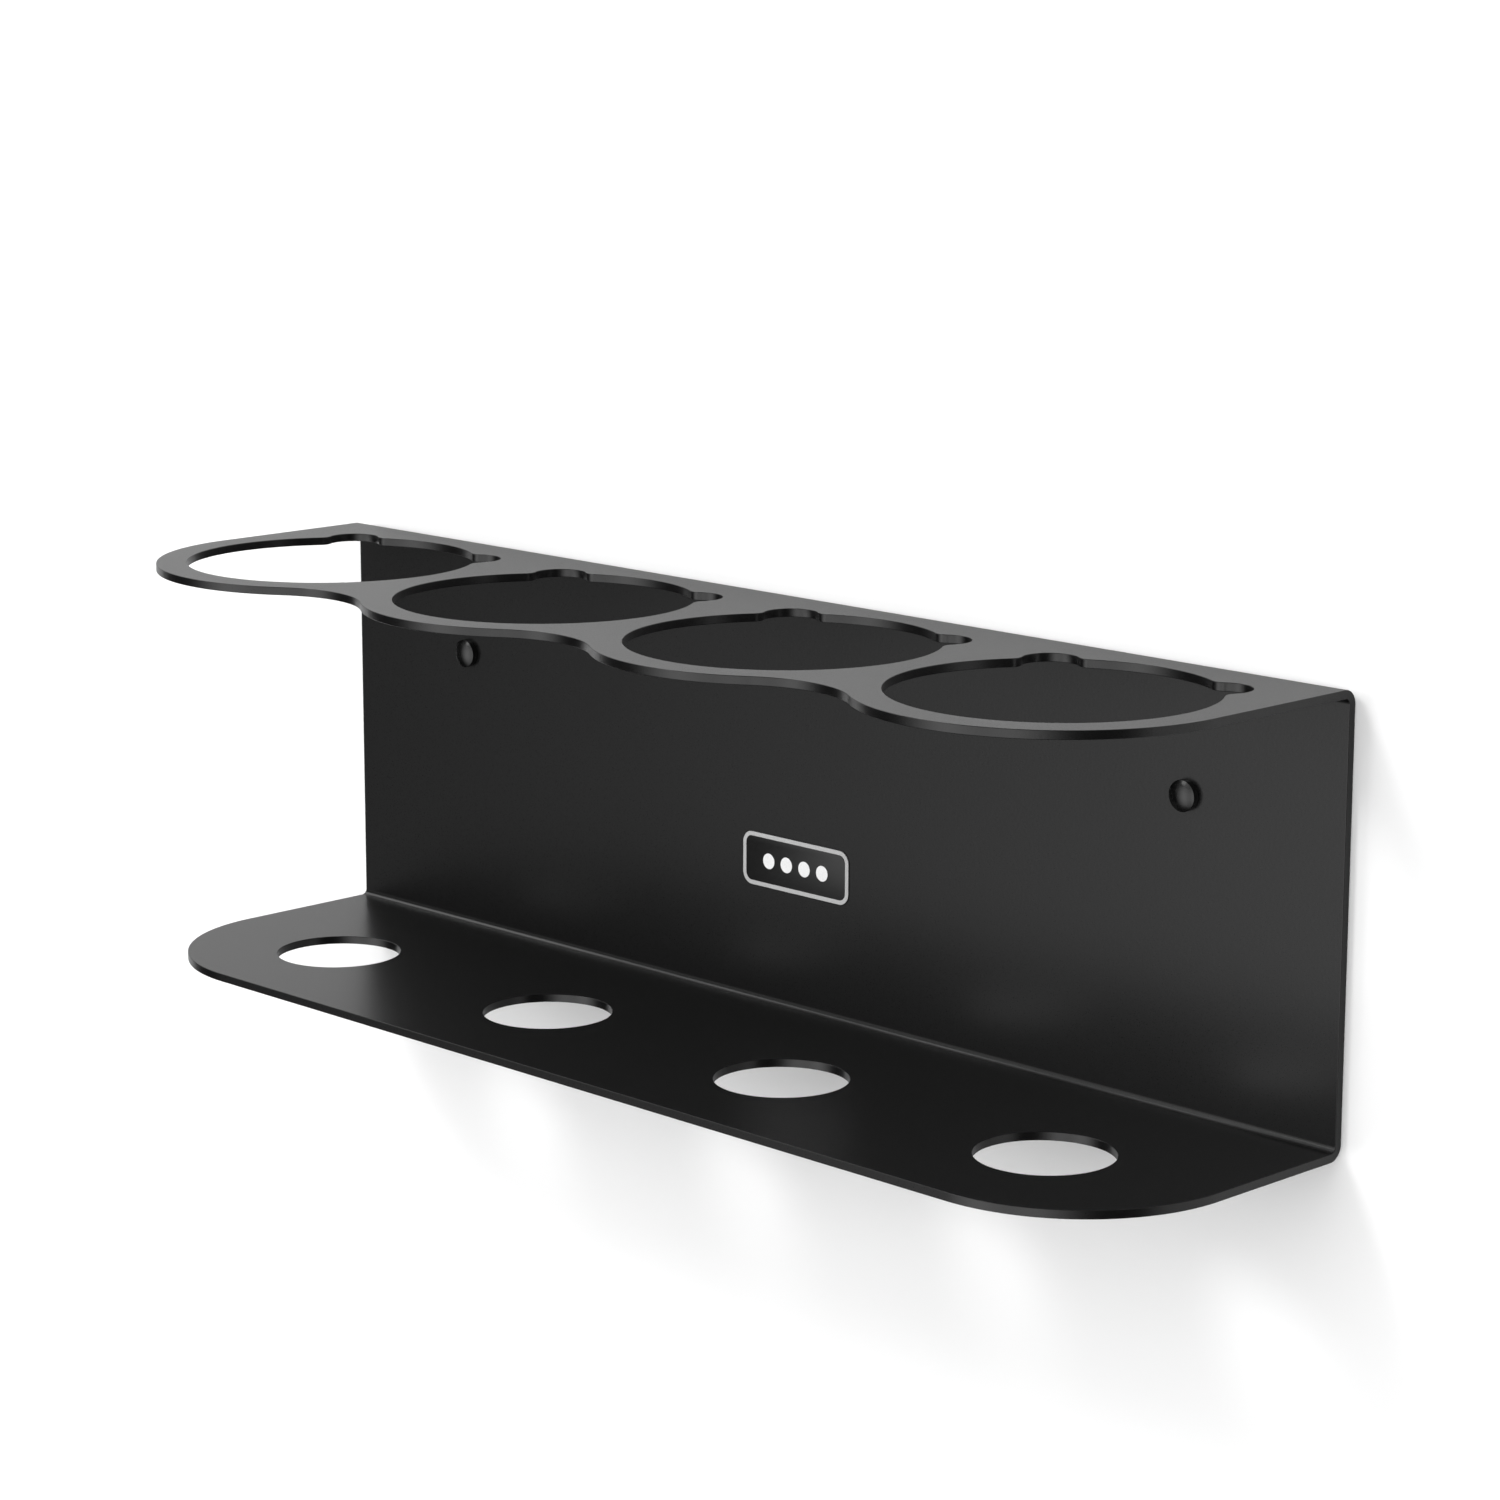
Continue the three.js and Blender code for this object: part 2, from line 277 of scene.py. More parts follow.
def seat_edge(x):
    """A top opening: a round hole with two lobes towards the wall."""
    offset = facing_angle(LOBE_RADIUS + LOBE_BLEND, SEAT_RADIUS, SEAT_RADIUS + LOBE_BLEND)
    left, right = -90 - LOBE_ANGLE, -90 + LOBE_ANGLE
    rows = joined(
        lobe(x, SEAT_LINE, left),
        arc(x, SEAT_LINE, SEAT_RADIUS, left + offset, right - offset, -1),
        lobe(x, SEAT_LINE, right),
        arc(x, SEAT_LINE, SEAT_RADIUS, right + offset, left + 360 - offset, -1),
    )
    return rows[::-1]


def round_edge(x, s, radius):
    return joined(arc(x, s, radius, 360, 0, -1))


def pattern_edges():
    """Every edge of the flat sheet, each with the metal on its left."""
    holes = [seat_edge(x) for x in STATION_X]
    holes += [round_edge(x, NOZZLE_LINE, NOZZLE_RADIUS) for x in STATION_X]
    holes += [round_edge(x, SCREW_LINE, SCREW_HOLE_RADIUS) for x in (STATION_X[0], STATION_X[-1])]
    return [outer_edge(), *holes]


def inside(points, loops):
    """Whether each point is on the metal, by counting the outlines that a ray from it crosses."""
    odd = np.zeros(len(points), bool)
    for loop in loops:
        ahead = np.roll(loop, -1, axis=0)
        for (x0, y0), (x1, y1) in zip(loop, ahead):
            if y0 != y1:
                between = (points[:, 1] >= min(y0, y1)) & (points[:, 1] < max(y0, y1))
                crossing = x0 + (points[:, 1] - y0) * (x1 - x0) / (y1 - y0)
                odd ^= between & (points[:, 0] < crossing)
    return odd


def fold(x, s, depth):
    """Folds pattern points, each some depth below the outer face. Returns places, the direction in
    which s grows, and the direction in which depth grows, as rows of x, y, z."""
    angle = np.radians(90) * (
        np.clip((s - LOW_BEND) / BEND_LENGTH, 0, 1) + np.clip((s - HIGH_BEND) / BEND_LENGTH, 0, 1)
    )
    flat_low = np.minimum(s, LOW_BEND)
    flat_plate = np.clip(s, PLATE, HIGH_BEND) - PLATE
    flat_top = np.maximum(s, TOP_SHELF) - TOP_SHELF
    bend = BEND_OUTSIDE
    y = flat_low - SHELF_DEPTH + (bend - depth) * np.sin(angle) - flat_top
    z = BOTTOM + bend + flat_plate - (bend - depth) * np.cos(angle)
    nothing = np.zeros_like(x)
    along = np.stack([nothing, np.cos(angle), np.sin(angle)], axis=1)
    inward = np.stack([nothing, -np.sin(angle), np.cos(angle)], axis=1)
    return np.stack([x, y, z], axis=1), along, inward


def edge_profile():
    """The rounded cut edge from the outer face to the inner face, as rows of inset, depth, tilt."""
    quarter = np.radians(np.linspace(-90, 0, EDGE_STEPS + 1))
    first = [(EDGE_ROUND * (1 - math.cos(a)), EDGE_ROUND * (1 + math.sin(a)), a) for a in quarter]
    second = [(inset, SHEET - depth, -tilt) for inset, depth, tilt in reversed(first)]
    return first + second


def flat_points(loops, rim_points):
    """Points spread over the metal: lines across each bend, and a staggered grid elsewhere."""
    rows = []
    xs = even(-HALF_WIDTH + FLAT_STEP, HALF_WIDTH - FLAT_STEP, FLAT_STEP)
    lines = np.concatenate([bend_lines(LOW_BEND), bend_lines(HIGH_BEND)])
    row_step = FLAT_STEP * math.sin(math.radians(60))
    for k, s in enumerate(even(row_step, SEAT_LINE + RIM_RADIUS, row_step)):
        if np.abs(lines - s).min() > row_step * CLEAR_OF_BEND:
            rows.append(np.stack([xs + (k % 2 - 0.5) * FLAT_STEP / 2, np.full(len(xs), s)], axis=1))
    grid = np.vstack(rows)
    grid = grid[inside(grid, loops)]
    tree = KDTree(len(rim_points))
    for k, (x, s) in enumerate(rim_points):
        tree.insert((x, s, 0), k)
    tree.balance()
    grid = grid[[tree.find((x, s, 0))[2] > FLAT_STEP * CLEAR_OF_EDGE for x, s in grid]]
    across = [np.stack([xs, np.full(len(xs), s)], axis=1) for s in lines]
    return grid, across


def triangulated(loops):
    """Covers the flat part of one face with triangles. Returns the points, of which the first are
    the loops' own points in order, and the triangles."""
    rim_points = np.vstack(loops)
    grid, across = flat_points(loops, rim_points)
    points = np.vstack([rim_points, *across, grid])
    edges = []
    start = 0
    for loop in loops:
        ring = np.arange(start, start + len(loop))
        edges += list(zip(ring, np.roll(ring, -1)))
        start += len(loop)
    outer = loops[0]
    for line in across:
        level = np.abs(outer[:, 1] - line[0, 1]) < SAME_LEVEL
        left = np.nonzero(level & (outer[:, 0] < 0))[0][0]
        right = np.nonzero(level & (outer[:, 0] > 0))[0][0]
        row = [left, *range(start, start + len(line)), right]
        edges += list(zip(row, row[1:]))
        start += len(line)
    edges = [(int(a), int(b)) for a, b in edges]
    spots = [Vector(p) for p in points]
    _, _, faces, originals, _, _ = delaunay_2d_cdt(spots, edges, [], 0, TRIANGLE_GAP)
    to_input = np.array([ids[0] for ids in originals])
    faces = to_input[np.array(faces)]
    middles = points[faces].mean(axis=1)
    return points, faces[inside(middles, loops)]


def mesh_object(name, verts, faces, material, normals=None):
    """An object from places in millimetres, shaded smooth."""
    mesh = bpy.data.meshes.new(name)
    mesh.from_pydata((np.asarray(verts) * MM).tolist(), [], [list(map(int, f)) for f in faces])
    mesh.polygons.foreach_set("use_smooth", [True] * len(mesh.polygons))
    if material is not None:
        mesh.materials.append(material)
    mesh.validate()
    if normals is not None:
        mesh.normals_split_custom_set_from_vertices(np.asarray(normals).tolist())
    piece = bpy.data.objects.new(name, mesh)
    bpy.context.scene.collection.objects.link(piece)
    return piece


def rack_body(material):
    """The folded sheet: two faces joined by rounded cut edges."""
    edges = pattern_edges()
    profile = edge_profile()
    insets = [rows[:, :2] - EDGE_ROUND * rows[:, 2:] for rows in edges]
    points, triangles = triangulated(insets)
    rim_count = sum(len(rows) for rows in edges)
    places, normals = [], []
    rows = np.vstack(edges)
    for inset, depth, tilt in profile:
        place, along, inward = fold(rows[:, 0] - inset * rows[:, 2], rows[:, 1] - inset * rows[:, 3],
                                    np.full(rim_count, depth))
        side = rows[:, 2:3] * np.array([1.0, 0, 0]) + rows[:, 3:4] * along
        places.append(place)
        normals.append(math.cos(tilt) * side + math.sin(tilt) * inward)
    inner_points = points[rim_count:]
    for depth, way in ((0, -1), (SHEET, 1)):
        place, along, inward = fold(inner_points[:, 0], inner_points[:, 1],
                                    np.full(len(inner_points), float(depth)))
        places.append(place)
        normals.append(way * inward)
    faces = []
    start = 0
    for ring in edges:
        at = np.arange(start, start + len(ring))
        ahead = np.roll(at, -1)
        for level in range(len(profile) - 1):
            low, high = level * rim_count, (level + 1) * rim_count
            faces += list(zip(at + low, ahead + low, ahead + high, at + high))
        start += len(ring)
    last = (len(profile) - 1) * rim_count
    spread = len(profile) * rim_count
    outer = np.where(triangles < rim_count, triangles, triangles - rim_count + spread)
    inner = np.where(triangles < rim_count, triangles + last,
                     triangles - rim_count + spread + len(inner_points))
    faces += [tuple(face[::-1]) for face in outer]
    faces += [tuple(face) for face in inner]
    return mesh_object("folded_rack", np.vstack(places), faces, material, np.vstack(normals))


# ---- round pieces -------------------------------------------------------------------------

def rounded_path(corners, steps=ROUND_STEPS):
    """A path through corners given as (x, y, radius). A corner with a radius becomes an arc that
    meets both of its sides smoothly."""
    path = []
    for k, (x, y, radius) in enumerate(corners):
        corner = np.array([x, y], float)
        if radius == 0:
            path.append(corner)
            continue
        before = np.array(corners[k - 1][:2], float) - corner
        after = np.array(corners[(k + 1) % len(corners)][:2], float) - corner
        before, after = before / np.linalg.norm(before), after / np.linalg.norm(after)
        half = math.acos(np.clip(before @ after, -1, 1)) / 2
        middle = (before + after) / np.linalg.norm(before + after)
        centre = corner + middle * radius / math.sin(half)
        first = corner + before * radius / math.tan(half) - centre
        last = corner + after * radius / math.tan(half) - centre
        swing = math.pi - 2 * half
        for part in np.linspace(0, 1, steps + 1):
            mix = math.sin((1 - part) * swing) * first + math.sin(part * swing) * last
            path.append(centre + mix / math.sin(swing))
    return np.array(path)


def domed_corners(radius, side, crown, shoulder):
    """Corners of a domed front from its middle to the foot of its side. Distances are along +Y,
    and the foot is at 0."""
    swell = (radius * radius + crown * crown) / (2 * crown)
    widths = np.linspace(0, radius - shoulder, DOME_POINTS)
    dome = [(w, -side - crown + swell - math.sqrt(swell * swell - w * w), 0) for w in widths]
    return [*dome, (radius, -side, shoulder)]


def revolved(name, path, segments, material, place):
    """Turns a path of (radius, distance) round an axis along +Y through a place."""
    angles = np.linspace(0, 2 * math.pi, segments, endpoint=False)
    radius, along = path[:, 0], path[:, 1]
    verts = np.vstack([
        np.stack([radius * math.sin(angle), along, radius * math.cos(angle)], axis=1)
        for angle in angles
    ])
    return grid_object(name, verts + np.array(place), segments, len(path), material)


def grid_object(name, verts, segments, count, material):
    """An object from columns of points that stand round an axis."""
    faces = []
    for k in range(segments):
        here, there = k * count, (k + 1) % segments * count
        for j in range(count - 1):
            faces.append((here + j, here + j + 1, there + j + 1, there + j))
    piece = mesh_object(name, verts, faces, material)
    weld(piece)
    piece.data.set_sharp_from_angle(angle=math.radians(SHARP_ANGLE))
    return piece


def weld(piece):
    """Joins points that lie together, such as the middle of a dome, and drops what that flattens."""
    shape = bmesh.new()
    shape.from_mesh(piece.data)
    bmesh.ops.remove_doubles(shape, verts=shape.verts, dist=WELD_GAP)
    bmesh.ops.dissolve_degenerate(shape, edges=shape.edges, dist=FLATTENED_EDGE)
    bmesh.ops.recalc_face_normals(shape, faces=shape.faces)
    shape.to_mesh(piece.data)
    shape.free()


def cut(piece, tool):
    """Cuts the tool's shape out of a piece, and drops the tool."""
    difference = piece.modifiers.new("cut", "BOOLEAN")
    difference.operation = "DIFFERENCE"
    difference.solver = "EXACT"
    difference.object = tool
    bpy.context.view_layer.update()
    whole = piece.evaluated_get(bpy.context.evaluated_depsgraph_get())
    shaped = bpy.data.meshes.new_from_object(whole)
    piece.modifiers.remove(difference)
    piece.data = shaped
    bpy.data.objects.remove(tool)
    piece.data.set_sharp_from_angle(angle=math.radians(SHARP_ANGLE))


def block(low, high):
    """A plain cutting block between two corners."""
    corners = list(product(*zip(low, high)))
    faces = [(0, 1, 3, 2), (4, 6, 7, 5), (0, 4, 5, 1), (2, 3, 7, 6), (0, 2, 6, 4), (1, 5, 7, 3)]
    return mesh_object("cutter", corners, faces, None)


def screw_cap(side, material):
    """A hollow domed cap, pressed over the screw's head until its rim meets the plate."""
    low, high = (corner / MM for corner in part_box(f"screw_cap_{side}"))
    radius = (high.x - low.x) / 2
    rim = -SHEET - SEAM
    side_height = rim - low.y - CAP_CROWN
    corners = [
        *domed_corners(radius, side_height, CAP_CROWN, CAP_LIP),
        (radius, 0, CAP_FOOT_ROUND),
        (CAP_POCKET_RADIUS, 0, CAP_MOUTH_ROUND),
        (CAP_POCKET_RADIUS, -CAP_POCKET_DEPTH, CAP_POCKET_ROUND),
        (0, -CAP_POCKET_DEPTH, 0),
    ]
    place = ((low.x + high.x) / 2, rim, (low.z + high.z) / 2)
    return revolved(f"dome_cap_{side}", rounded_path(corners), CAP_SEGMENTS, material, place)


def thread_column(turn, start, end):
    """One column of the threaded shank: radii and distances at one angle, as a share of a turn."""
    rows = np.arange(-1, (end - start) / THREAD_PITCH + 1, 1 / THREAD_STEPS)
    along = np.clip(start + (rows + turn) * THREAD_PITCH, start, end)
    phase = np.abs((rows + 0.5) % 1 - 0.5)
    ridge = np.clip(1 - phase / THREAD_FOOT, 0, 1)
    fade = np.clip((along - start) / THREAD_PITCH, 0, 1) * np.clip((end - along) / THREAD_PITCH, 0, 1)
    taper = (end - along) / SCREW_POINT
    core = SHANK_RADIUS * np.clip(taper, 0, 1) ** POINT_CURVE
    crest = THREAD_RADIUS - SHANK_RADIUS
    return core + crest * ridge * fade * np.clip(taper, POINT_RIDGE, 1), along


def wall_screw(side, material):
    """A pan-head wood screw with a cross recess. Its ridges climb as a helix, but where the last
    column of points meets the first, each drops back almost one pitch, so it isn't a true thread."""
    low, high = (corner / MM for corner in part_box(f"wall_screw_{side}"))
    middle = np.array([(low.x + high.x) / 2, 0, (low.z + high.z) / 2])
    head_radius = (high.x - low.x) / 2
    foot = -SHEET - SEAM
    side_height = foot - low.y - HEAD_CROWN
    path = rounded_path([
        *domed_corners(head_radius, side_height, HEAD_CROWN, HEAD_LIP),
        (head_radius, 0, HEAD_FOOT_ROUND),
        (THREAD_RADIUS, 0, NECK_ROUND),
        (THREAD_RADIUS, NECK_LENGTH, 0),
    ])
    columns = []
    for k in range(SCREW_SEGMENTS):
        radius, along = thread_column(k / SCREW_SEGMENTS, foot + NECK_LENGTH, high.y)
        radius = np.concatenate([path[:, 0], radius])
        along = np.concatenate([path[:, 1] + foot, along])
        angle = 2 * math.pi * k / SCREW_SEGMENTS
        columns.append(np.stack([radius * math.sin(angle), along, radius * math.cos(angle)], axis=1))
    verts = np.vstack(columns) + middle
    screw = grid_object(f"pan_screw_{side}", verts, SCREW_SEGMENTS, len(columns[0]), material)
    long, short = DRIVE_SPAN / 2, DRIVE_WIDTH / 2
    for wide, tall in ((long, short), (short, long)):
        reach = np.array([wide, 0, tall])
        floor = np.array([0, low.y + DRIVE_DEPTH, 0])
        cut(screw, block(middle - reach + (0, low.y - CUTTER_OVERRUN, 0), middle + reach + floor))
    return screw


def wall_anchor(side, material):
    """A ribbed plug with a straight bore, split into two legs behind its collar."""
    low, high = (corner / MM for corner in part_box(f"wall_anchor_{side}"))
    radius = (high.x - low.x) / 2
    length = high.y - low.y
    stride = (length - ANCHOR_COLLAR) / ANCHOR_RIBS
    groove = radius - ANCHOR_GROOVE
    corners = [
        (ANCHOR_BORE, 0, ANCHOR_MOUTH_ROUND),
        (radius, 0, ANCHOR_MOUTH_ROUND),
        (radius, ANCHOR_COLLAR, ANCHOR_COLLAR_ROUND),
    ]
    for k in range(ANCHOR_RIBS):
        start = ANCHOR_COLLAR + k * stride
        corners += [
            (groove, start + RIB_FLANK, RIB_ROUND),
            (groove, start + stride * GROOVE_FLOOR, GROOVE_FLOOR_ROUND),
            (radius, start + stride - RIB_FLANK, RIB_ROUND),
            (radius, start + stride - RIB_EDGE, RIB_EDGE),
        ]
    corners[-2:] = [
        (groove - ANCHOR_TIP_INSET, length, ANCHOR_TIP_ROUND),
        (ANCHOR_BORE, length, ANCHOR_TIP_MOUTH_ROUND),
    ]
    path = rounded_path(corners, ANCHOR_ROUND_STEPS)
    path = np.vstack([path, path[:1]])
    place = np.array([(low.x + high.x) / 2, low.y, (low.z + high.z) / 2])
    anchor = revolved(f"ribbed_anchor_{side}", path, ANCHOR_SEGMENTS, material, place)
    half = ANCHOR_SLIT / 2
    slit_start = place + (-2 * radius, ANCHOR_COLLAR + ANCHOR_SLIT_START, -half)
    slit_end = place + (2 * radius, 2 * length, half)
    cut(anchor, block(slit_start, slit_end))
    return anchor


# ---- label --------------------------------------------------------------------------------

def rounded_rectangle(width, height, corner, z):
    """A rounded rectangle round x = 0 and height z, as rows of x, z and the outward normal."""
    x, up = width / 2 - corner, height / 2 - corner
    return joined(
        arc(x, z - up, corner, -90, 0, 1),
        arc(x, z + up, corner, 0, 90, 1),
        arc(-x, z + up, corner, 90, 180, 1),
        arc(-x, z - up, corner, 180, 270, 1),
    )


def rolled(name, outline, section, material, filled):
    """Sweeps a section of (inset, distance in front of the plate) round an outline. Filled ones
    are closed across their front and back, and the others are rings."""
    layers = [
        np.stack([outline[:, 0] - inset * outline[:, 2], np.full(len(outline), -SHEET - front),
                  outline[:, 1] - inset * outline[:, 3]], axis=1)
        for inset, front in section
    ]
    count = len(outline)
    at = np.arange(count)
    ahead = np.roll(at, -1)
    faces = []
    for k in range(len(section) - 1 if filled else len(section)):
        low, high = k * count, (k + 1) % len(section) * count
        faces += list(zip(at + low, ahead + low, ahead + high, at + high))
    if filled:
        faces += [tuple(at[::-1]), tuple(at + (len(section) - 1) * count)]
    piece = mesh_object(name, np.vstack(layers), faces, material)
    weld(piece)
    piece.data.set_sharp_from_angle(angle=math.radians(SHARP_ANGLE))
    return piece


def label_pieces(film, ink, white):
    """A thin film with a raised border and four plain dots, one for each tool."""
    low, high = (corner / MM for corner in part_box("label_plate"))
    width, height, z = high.x - low.x, high.z - low.z, (low.z + high.z) / 2
    outline = rounded_rectangle(width, height, LABEL_CORNER, z)
    turn = np.radians(np.linspace(0, 90, FILM_ROUND_POINTS))
    lip = [(FILM_ROUND * (1 - math.cos(a)), FILM - FILM_ROUND + FILM_ROUND * math.sin(a)) for a in turn]
    pieces = [rolled("label_film", outline, [(0, SEAM), *lip], film, True)]
    foot, top = FILM - INK_SUNK, FILM + INK
    start, end = BORDER_INSET, BORDER_INSET + BORDER_WIDTH
    band = [(start, foot), (start, top - INK_ROUND), (start + INK_ROUND, top),
            (end - INK_ROUND, top), (end, top - INK_ROUND), (end, foot)]
    pieces.append(rolled("label_border", outline, band, ink, False))
    for k in range(DOTS):
        x = (k - (DOTS - 1) / 2) * DOT_PITCH
        disc = round_edge(x, z, DOT_RADIUS)
        disc = np.hstack([disc[::-1, :2], -disc[::-1, 2:]])
        section = [(0, foot), (0, top - INK_ROUND), (INK_ROUND, top)]
        pieces.append(rolled(f"label_dot_{k + 1}", disc, section, white, True))
    return pieces


# ---- materials ----------------------------------------------------------------------------

NOISE_LOW = 0.3                              # noise mostly lies between these two
NOISE_HIGH = 0.7
TINT_LOW = 0.35                              # at or below it a tint is wholly its first colour
TINT_HIGH = 0.65


def plain(name):
    """A new material with its nodes and links."""
    material = bpy.data.materials.new(name)
    material.use_nodes = True
    return material, material.node_tree.nodes, material.node_tree.links


def noise(nodes, links, scale, detail):
    """Noise in object space. scale is in features per metre."""
    place = nodes.new("ShaderNodeTexCoord")
    texture = nodes.new("ShaderNodeTexNoise")
    texture.inputs["Scale"].default_value = scale
    texture.inputs["Detail"].default_value = detail
    links.new(place.outputs["Object"], texture.inputs["Vector"])
    return texture.outputs["Fac"]


def spread(nodes, links, value, low, high):
    """Spreads a noise value over low to high."""
    node = nodes.new("ShaderNodeMapRange")
    node.inputs["From Min"].default_value = NOISE_LOW
    node.inputs["From Max"].default_value = NOISE_HIGH
    node.inputs["To Min"].default_value = low
    node.inputs["To Max"].default_value = high
    links.new(value, node.inputs["Value"])
    return node.outputs["Result"]


def tint(nodes, links, value, low, high):
    """A colour between two colours."""
    node = nodes.new("ShaderNodeValToRGB")
    node.color_ramp.elements[0].position = TINT_LOW
    node.color_ramp.elements[0].color = (*low, 1)
    node.color_ramp.elements[1].position = TINT_HIGH
    node.color_ramp.elements[1].color = (*high, 1)
    links.new(value, node.inputs["Fac"])
    return node.outputs["Color"]


def bump(nodes, links, height, distance, under=None):
    """A bumped normal, on top of another one if that is given. distance is in metres."""
    node = nodes.new("ShaderNodeBump")
    node.inputs["Distance"].default_value = distance
    node.inputs["Strength"].default_value = 1.0
    links.new(height, node.inputs["Height"])
    if under is not None:
        links.new(under, node.inputs["Normal"])
    return node.outputs["Normal"]


def mottled(name, scale, detail, low, high, rough, wave):
    """A material whose colour, roughness and surface all vary a little with one noise. low and high
    are its two colours, rough is its range of roughness and wave is the depth of the bumps."""
    material, nodes, links = plain(name)
    shader = nodes["Principled BSDF"]
    cloud = noise(nodes, links, scale, detail)
    links.new(tint(nodes, links, cloud, low, high), shader.inputs["Base Color"])
    links.new(spread(nodes, links, cloud, *rough), shader.inputs["Roughness"])
    links.new(bump(nodes, links, cloud, wave), shader.inputs["Normal"])
    return material, shader


def powder_coat():
    """Satin black powder coat: a fine orange peel with a slightly uneven sheen."""
    material, nodes, links = plain("powder_coat")
    shader = nodes["Principled BSDF"]
    shader.inputs["IOR"].default_value = 1.5
    peel = noise(nodes, links, scale=1100, detail=1)
    grain = noise(nodes, links, scale=4200, detail=2)
    colour = tint(nodes, links, grain, low=[0.0015] * 3, high=(0.0023, 0.0023, 0.0024))
    links.new(colour, shader.inputs["Base Color"])
    links.new(spread(nodes, links, grain, low=0.27, high=0.32), shader.inputs["Roughness"])
    waves = bump(nodes, links, peel, distance=0.000012)
    links.new(bump(nodes, links, grain, distance=0.000003, under=waves), shader.inputs["Normal"])
    return material


def gloss_black():
    """Glossy moulded plastic with a faint unevenness."""
    material, shader = mottled("cap_plastic", scale=700, detail=3, low=[0.0015] * 3, high=[0.003] * 3,
                               rough=(0.2, 0.26), wave=0.00001)
    shader.inputs["IOR"].default_value = 1.5
    return material


def zinc_plate():
    """Bright zinc on steel, with fine uneven brightness."""
    material, shader = mottled("zinc_plate", scale=900, detail=4, low=(0.46, 0.47, 0.48), high=[0.6] * 3,
                               rough=(0.24, 0.4), wave=0.000008)
    shader.inputs["Metallic"].default_value = 1.0
    return material


def grey_nylon():
    """Grey moulded nylon with a soft, slightly waxy surface."""
    material, shader = mottled("grey_nylon", scale=1300, detail=4, low=(0.25, 0.26, 0.27),
                               high=(0.31, 0.32, 0.33), rough=(0.42, 0.56), wave=0.000015)
    shader.inputs["IOR"].default_value = 1.53
    return material


def label_film():
    """Black label film, a little smoother than the coat under it."""
    material, shader = mottled("label_film", scale=1500, detail=3, low=[0.003] * 3, high=[0.005] * 3,
                               rough=(0.3, 0.36), wave=0.000004)
    shader.inputs["IOR"].default_value = 1.47
    return material


def print_ink(name, shade):
    """Opaque printing ink with a little mottle."""
    material, _ = mottled(name, scale=3000, detail=3, low=[shade * 0.94] * 3, high=[shade * 1.04] * 3,
                          rough=(0.4, 0.5), wave=0.000003)
    return material


# ---- the object ---------------------------------------------------------------------------

def fitted(piece, node):
    """Fixes a piece to the rack in place of a CAD node."""
    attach(piece, "root")
    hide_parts(node)


fitted(rack_body(powder_coat()), "rack_body")

cap_gloss = gloss_black()
zinc = zinc_plate()
nylon = grey_nylon()
for side in ("left", "right"):
    fitted(screw_cap(side, cap_gloss), f"screw_cap_{side}")
    fitted(wall_screw(side, zinc), f"wall_screw_{side}")
    fitted(wall_anchor(side, nylon), f"wall_anchor_{side}")

for piece in label_pieces(label_film(), print_ink("grey_ink", 0.42), print_ink("white_ink", 0.8)):
    fitted(piece, "label_plate")


# ---- studio -------------------------------------------------------------------------------

CAMERA_HEADING = -45.334                     # degrees from straight at the wall, left negative
CAMERA_DIP = 11.748                          # degrees below level
CAMERA_ROLL = -0.12
CAMERA_PLACE = Vector((0.84135, -0.85359, 0.2390))
SENSOR_MM = 36
LENS_MM = 97.83

BACKDROP_REACH = 1.8                         # metres, as everything in the studio
WALL_BEHIND = 0.0004
FLOOR_BELOW = 1.0
OPENING_INSIDE_ENDS = 0.001                  # how far the rack hides the edges of the wall's opening
OPENING_INSIDE_TOP = 0.006
PAINT_ROUGHNESS = 0.9
WALL_SHADE = 0.54                            # as every ray but the camera's meets it
WALL_SEEN = 0.91                             # as the camera sees it
FLOOR_SHADE = 0.8

LIGHT_DISTANCE = 2.5                         # from the rack to each softbox
KEY_LIGHT = 14                               # brightness of each light, where 1 is white
LEFT_FILL = 6.5
RIGHT_FILL = 7
KEY_HIGHLIGHT = 4
SIDE_HIGHLIGHT = 2.5
OVERHEAD_LIGHT = 1.35
OVERHEAD_FADE = 0.12                         # how far it fades above and below level, as a sine
PANEL_LIGHT = 2.5
BEHIND_WALL = 0.8                            # light that reflections see from behind the wall
BEHIND_FROM = -0.05                          # where it starts and is full, as sines towards the wall
BEHIND_FULL = 0.3

# The panel that reflections see: two upright bright strips, one on each side of straight ahead, with
# a dimmer gap between them. It fades out to its edges. Angles are in degrees.
STRIP_HEADING = 20
PANEL_EDGE = 50
LEFT_STRIP = 1.0
RIGHT_STRIP = 0.9
BETWEEN_STRIPS = 0.6
PANEL_FOOT = -60
PANEL_FULL_FROM = -20
PANEL_FULL_TO = 0
PANEL_TOP = 60


def camera():
    data = bpy.data.cameras.new("camera")
    data.sensor_width = SENSOR_MM
    data.lens = LENS_MM
    eye = bpy.data.objects.new("camera", data)
    bpy.context.scene.collection.objects.link(eye)
    turn = (Matrix.Rotation(math.radians(-CAMERA_HEADING), 4, "Z")
            @ Matrix.Rotation(math.radians(90 - CAMERA_DIP), 4, "X")
            @ Matrix.Rotation(math.radians(-CAMERA_ROLL), 4, "Z"))
    eye.matrix_world = Matrix.Translation(CAMERA_PLACE) @ turn
    bpy.context.scene.camera = eye


